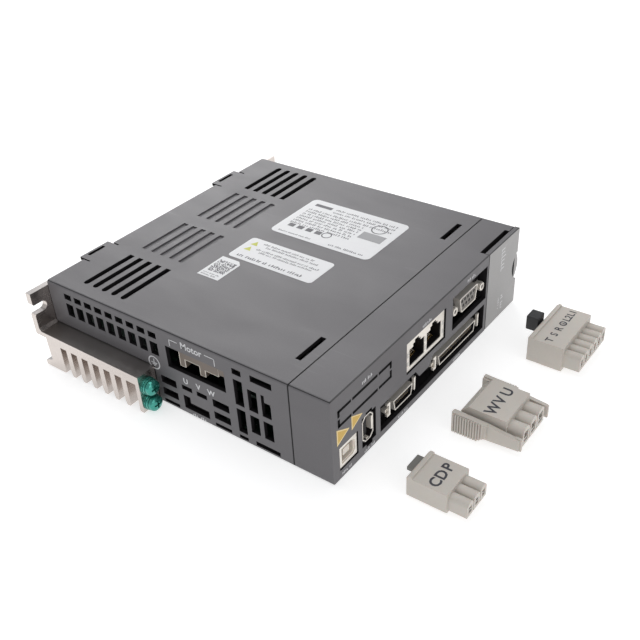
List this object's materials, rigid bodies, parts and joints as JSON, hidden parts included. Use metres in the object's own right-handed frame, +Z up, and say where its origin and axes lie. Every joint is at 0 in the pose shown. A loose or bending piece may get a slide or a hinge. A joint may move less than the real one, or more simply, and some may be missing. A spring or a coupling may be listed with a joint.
{
  "type": "servo drive",
  "caption": "Compact book-shaped servo drive lying on its side, with finned heatsink, front connectors, display door and its loose power plugs.",
  "frame": {"origin": "centre of the side the drive lies on, in the plane of the floor", "axes": "+Z up, out of the labelled side; +Y towards the heatsink's panel-mounting plate, so the front panel faces -Y; +X towards the end that is the top when it is mounted upright"},
  "size_m": [0.1764, 0.2158, 0.0422],
  "materials": {
    "main_housing": "fine-textured dark grey moulded plastic",
    "front_cover": "fine-textured dark grey moulded plastic",
    "display_door": "satin lighter grey moulded plastic",
    "heatsink": "extruded aluminium with saw-cut ends",
    "ground_screw_1": "green coated pan head screw",
    "ground_screw_2": "green coated pan head screw",
    "plate_screw_1": "zinc plated steel",
    "plate_screw_2": "zinc plated steel",
    "plate_screw_3": "zinc plated steel",
    "plate_screw_4": "zinc plated steel",
    "motor_header": "beige moulded nylon",
    "mains_header": "beige moulded nylon",
    "brake_header": "beige moulded nylon",
    "sto_connector": "black moulded nylon",
    "usb_socket": "bright tinned shell",
    "feedback_socket": "bright tinned shell, black insert",
    "ribbon_socket_small": "tinned shell, black insert",
    "ribbon_socket_large": "tinned shell, black insert",
    "network_jack": "tinned shield, black ports",
    "serial_socket": "tinned shell, black insert",
    "jack_screw_1": "bright plated hexagon stud",
    "jack_screw_2": "bright plated hexagon stud",
    "display_module": "dark smoked digit window",
    "display_board": "green circuit board",
    "key_1": "grey moulded key",
    "key_2": "grey moulded key",
    "key_3": "grey moulded key",
    "key_4": "grey moulded key",
    "key_5": "grey moulded key",
    "control_board": "green circuit board",
    "network_board": "green circuit board",
    "power_board": "green circuit board",
    "power_module": "black moulded module",
    "bus_capacitor_1": "black sleeved can",
    "bus_capacitor_2": "black sleeved can",
    "bus_capacitor_3": "black sleeved can",
    "line_choke": "enamelled winding on a ring core",
    "transformer": "taped winding on a core",
    "inrush_relay": "black relay case",
    "label_nameplate": "printed film",
    "label_caution": "printed film",
    "label_code": "printed film",
    "brake_plug": "light grey-beige nylon",
    "brake_plug_lever": "mid grey nylon",
    "motor_plug": "light grey-beige nylon",
    "motor_plug_latch_1": "light grey-beige nylon",
    "motor_plug_latch_2": "light grey-beige nylon",
    "mains_plug": "light grey-beige nylon",
    "mains_plug_lever": "black nylon"
  },
  "bodies": {
    "drive": {"main_housing": "main_housing", "front_cover": "front_cover", "heatsink": "heatsink", "ground_screw_1": "ground_screw_1", "ground_screw_2": "ground_screw_2", "plate_screw_1": "plate_screw_1", "plate_screw_2": "plate_screw_2", "plate_screw_3": "plate_screw_3", "plate_screw_4": "plate_screw_4", "motor_header": "motor_header", "mains_header": "mains_header", "brake_header": "brake_header", "sto_connector": "sto_connector", "usb_socket": "usb_socket", "feedback_socket": "feedback_socket", "ribbon_socket_small": "ribbon_socket_small", "ribbon_socket_large": "ribbon_socket_large", "network_jack": "network_jack", "serial_socket": "serial_socket", "jack_screw_1": "jack_screw_1", "jack_screw_2": "jack_screw_2", "display_module": "display_module", "display_board": "display_board", "control_board": "control_board", "network_board": "network_board", "power_board": "power_board", "power_module": "power_module", "bus_capacitor_1": "bus_capacitor_1", "bus_capacitor_2": "bus_capacitor_2", "bus_capacitor_3": "bus_capacitor_3", "line_choke": "line_choke", "transformer": "transformer", "inrush_relay": "inrush_relay", "label_nameplate": "label_nameplate", "label_caution": "label_caution", "label_code": "label_code"},
    "door": {"display_door": "display_door"},
    "key_1": {"key_1": "key_1"},
    "key_2": {"key_2": "key_2"},
    "key_3": {"key_3": "key_3"},
    "key_4": {"key_4": "key_4"},
    "key_5": {"key_5": "key_5"},
    "brake_plug": {"brake_plug": "brake_plug"},
    "brake_lever": {"brake_plug_lever": "brake_plug_lever"},
    "motor_plug": {"motor_plug": "motor_plug"},
    "motor_latch_1": {"motor_plug_latch_1": "motor_plug_latch_1"},
    "motor_latch_2": {"motor_plug_latch_2": "motor_plug_latch_2"},
    "mains_plug": {"mains_plug": "mains_plug"},
    "mains_lever": {"mains_plug_lever": "mains_plug_lever"}
  },
  "joints": [
    {"name": "door_hinge", "type": "hinge", "parent": "drive", "child": "door", "pos_m": [0.0494, -0.0788, 0.021], "axis": [0, 0, -1], "range_deg": [0, 58]},
    {"name": "key_1_press", "type": "slide", "parent": "drive", "child": "key_1", "axis": [0, 1, 0], "range_m": [0, 0.0006], "stiffness_N_per_m": 200, "springref_m": -0.001},
    {"name": "key_2_press", "type": "slide", "parent": "drive", "child": "key_2", "axis": [0, 1, 0], "range_m": [0, 0.0006], "stiffness_N_per_m": 200, "springref_m": -0.001},
    {"name": "key_3_press", "type": "slide", "parent": "drive", "child": "key_3", "axis": [0, 1, 0], "range_m": [0, 0.0006], "stiffness_N_per_m": 200, "springref_m": -0.001},
    {"name": "key_4_press", "type": "slide", "parent": "drive", "child": "key_4", "axis": [0, 1, 0], "range_m": [0, 0.0006], "stiffness_N_per_m": 200, "springref_m": -0.001},
    {"name": "key_5_press", "type": "slide", "parent": "drive", "child": "key_5", "axis": [0, 1, 0], "range_m": [0, 0.0006], "stiffness_N_per_m": 200, "springref_m": -0.001},
    {"name": "brake_plug_lift", "type": "slide", "parent": "drive", "child": "brake_plug", "axis": [0, 0, 1], "range_m": [0, 0.05]},
    {"name": "brake_lever_press", "type": "hinge", "parent": "brake_plug", "child": "brake_lever", "pos_m": [-0.0565, -0.1084, 0.0076], "axis": [-1, 0, 0], "range_deg": [0, 12], "stiffness_Nm_per_rad": 0.02, "springref_deg": -5.73},
    {"name": "motor_plug_lift", "type": "slide", "parent": "drive", "child": "motor_plug", "axis": [0, 0, 1], "range_m": [0, 0.05]},
    {"name": "motor_latch_1_squeeze", "type": "hinge", "parent": "motor_plug", "child": "motor_latch_1", "pos_m": [-0.0219, -0.1155, 0.006], "axis": [0, 0, -1], "range_deg": [0, 4], "stiffness_Nm_per_rad": 0.05, "springref_deg": -2.86},
    {"name": "motor_latch_2_squeeze", "type": "hinge", "parent": "motor_plug", "child": "motor_latch_2", "pos_m": [0.0019, -0.1155, 0.006], "axis": [0, 0, 1], "range_deg": [0, 4], "stiffness_Nm_per_rad": 0.05, "springref_deg": -2.86},
    {"name": "mains_plug_lift", "type": "slide", "parent": "drive", "child": "mains_plug", "axis": [0, 0, 1], "range_m": [0, 0.05]},
    {"name": "mains_lever_press", "type": "hinge", "parent": "mains_plug", "child": "mains_lever", "pos_m": [0.0518, -0.1094, 0.0094], "axis": [-1, 0, 0], "range_deg": [0, 12], "stiffness_Nm_per_rad": 0.02, "springref_deg": -5.73}
  ]
}
